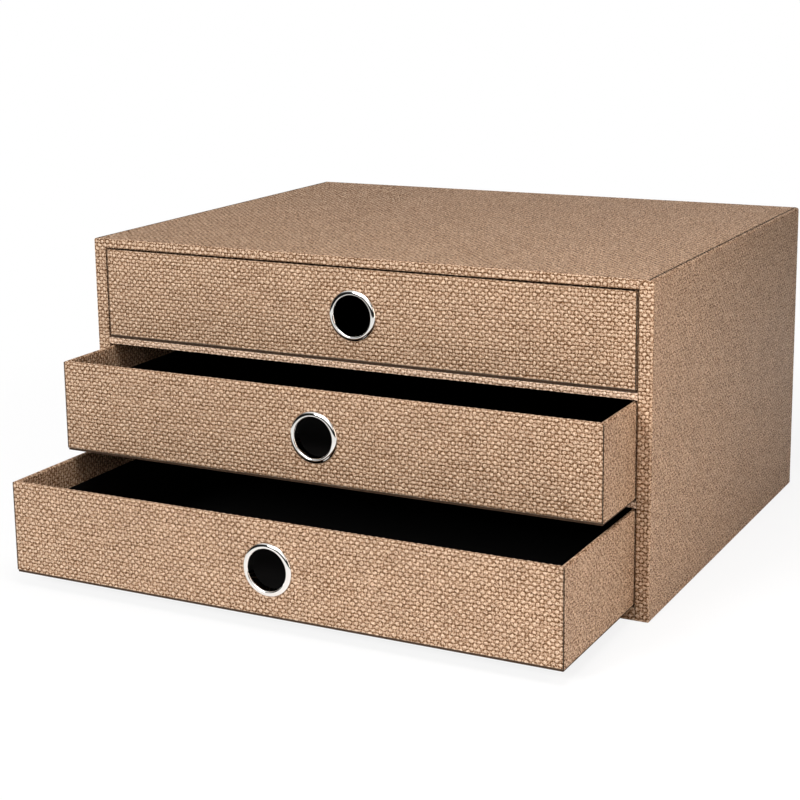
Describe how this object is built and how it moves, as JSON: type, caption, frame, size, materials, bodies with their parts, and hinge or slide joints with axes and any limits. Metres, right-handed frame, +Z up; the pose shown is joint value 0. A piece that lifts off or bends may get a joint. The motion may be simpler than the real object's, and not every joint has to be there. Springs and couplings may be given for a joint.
{
  "type": "drawer file box",
  "caption": "Desk-top file box of paper-covered board with pull-out drawers for A4 paper, each with a round metal finger ring in its front.",
  "frame": {"origin": "middle of the case's underside, on the surface the box stands on", "axes": "+Z up, drawer fronts face -Y, +X to the right of someone who faces the fronts"},
  "size_m": [0.34, 0.3649, 0.1789],
  "materials": {
    "case_covering": "coarse woven-look embossed covering paper, matt",
    "drawer_front_covering": "coarse woven-look embossed covering paper, matt",
    "drawer_side_covering": "woven-look covering paper, finer relief, matt",
    "black_lining": "smooth black lining paper, matt",
    "grey_board": "raw grey board",
    "base_board": "raw board, its edge showing under the fronts",
    "ring_pull": "polished plated steel eyelet",
    "ring_washer": "plated steel washer"
  },
  "bodies": {
    "case": {"case_top_board": "grey_board", "case_bottom_board": "grey_board", "case_left_board": "grey_board", "case_right_board": "grey_board", "case_back_board": "grey_board", "case_top_cover": "case_covering", "case_bottom_cover": "case_covering", "case_left_cover": "case_covering", "case_right_cover": "case_covering", "case_back_cover": "case_covering", "upper_shelf": "grey_board", "lower_shelf": "grey_board", "upper_shelf_edging": "case_covering", "lower_shelf_edging": "case_covering", "upper_left_liner": "grey_board", "middle_left_liner": "grey_board", "lower_left_liner": "grey_board", "upper_right_liner": "grey_board", "middle_right_liner": "grey_board", "lower_right_liner": "grey_board", "upper_bay_lining": "black_lining", "middle_bay_lining": "black_lining", "lower_bay_lining": "black_lining"},
    "upper_drawer": {"upper_drawer_front_board": "grey_board", "upper_drawer_back_board": "grey_board", "upper_drawer_left_board": "grey_board", "upper_drawer_right_board": "grey_board", "upper_drawer_base_board": "base_board", "upper_drawer_lining": "black_lining", "upper_drawer_front_cover": "drawer_front_covering", "upper_drawer_side_cover": "drawer_side_covering", "upper_drawer_ring_pull": "ring_pull", "upper_drawer_ring_washer": "ring_washer"},
    "middle_drawer": {"middle_drawer_front_board": "grey_board", "middle_drawer_back_board": "grey_board", "middle_drawer_left_board": "grey_board", "middle_drawer_right_board": "grey_board", "middle_drawer_base_board": "base_board", "middle_drawer_lining": "black_lining", "middle_drawer_front_cover": "drawer_front_covering", "middle_drawer_side_cover": "drawer_side_covering", "middle_drawer_ring_pull": "ring_pull", "middle_drawer_ring_washer": "ring_washer"},
    "lower_drawer": {"lower_drawer_front_board": "grey_board", "lower_drawer_back_board": "grey_board", "lower_drawer_left_board": "grey_board", "lower_drawer_right_board": "grey_board", "lower_drawer_base_board": "base_board", "lower_drawer_lining": "black_lining", "lower_drawer_front_cover": "drawer_front_covering", "lower_drawer_side_cover": "drawer_side_covering", "lower_drawer_ring_pull": "ring_pull", "lower_drawer_ring_washer": "ring_washer"}
  },
  "joints": [
    {"name": "upper_drawer_slide", "type": "slide", "parent": "case", "child": "upper_drawer", "axis": [0, -1, 0], "range_m": [0, 0.19]},
    {"name": "middle_drawer_slide", "type": "slide", "parent": "case", "child": "middle_drawer", "axis": [0, -1, 0], "range_m": [-0.0443, 0.1457]},
    {"name": "lower_drawer_slide", "type": "slide", "parent": "case", "child": "lower_drawer", "axis": [0, -1, 0], "range_m": [-0.0936, 0.0964]}
  ]
}
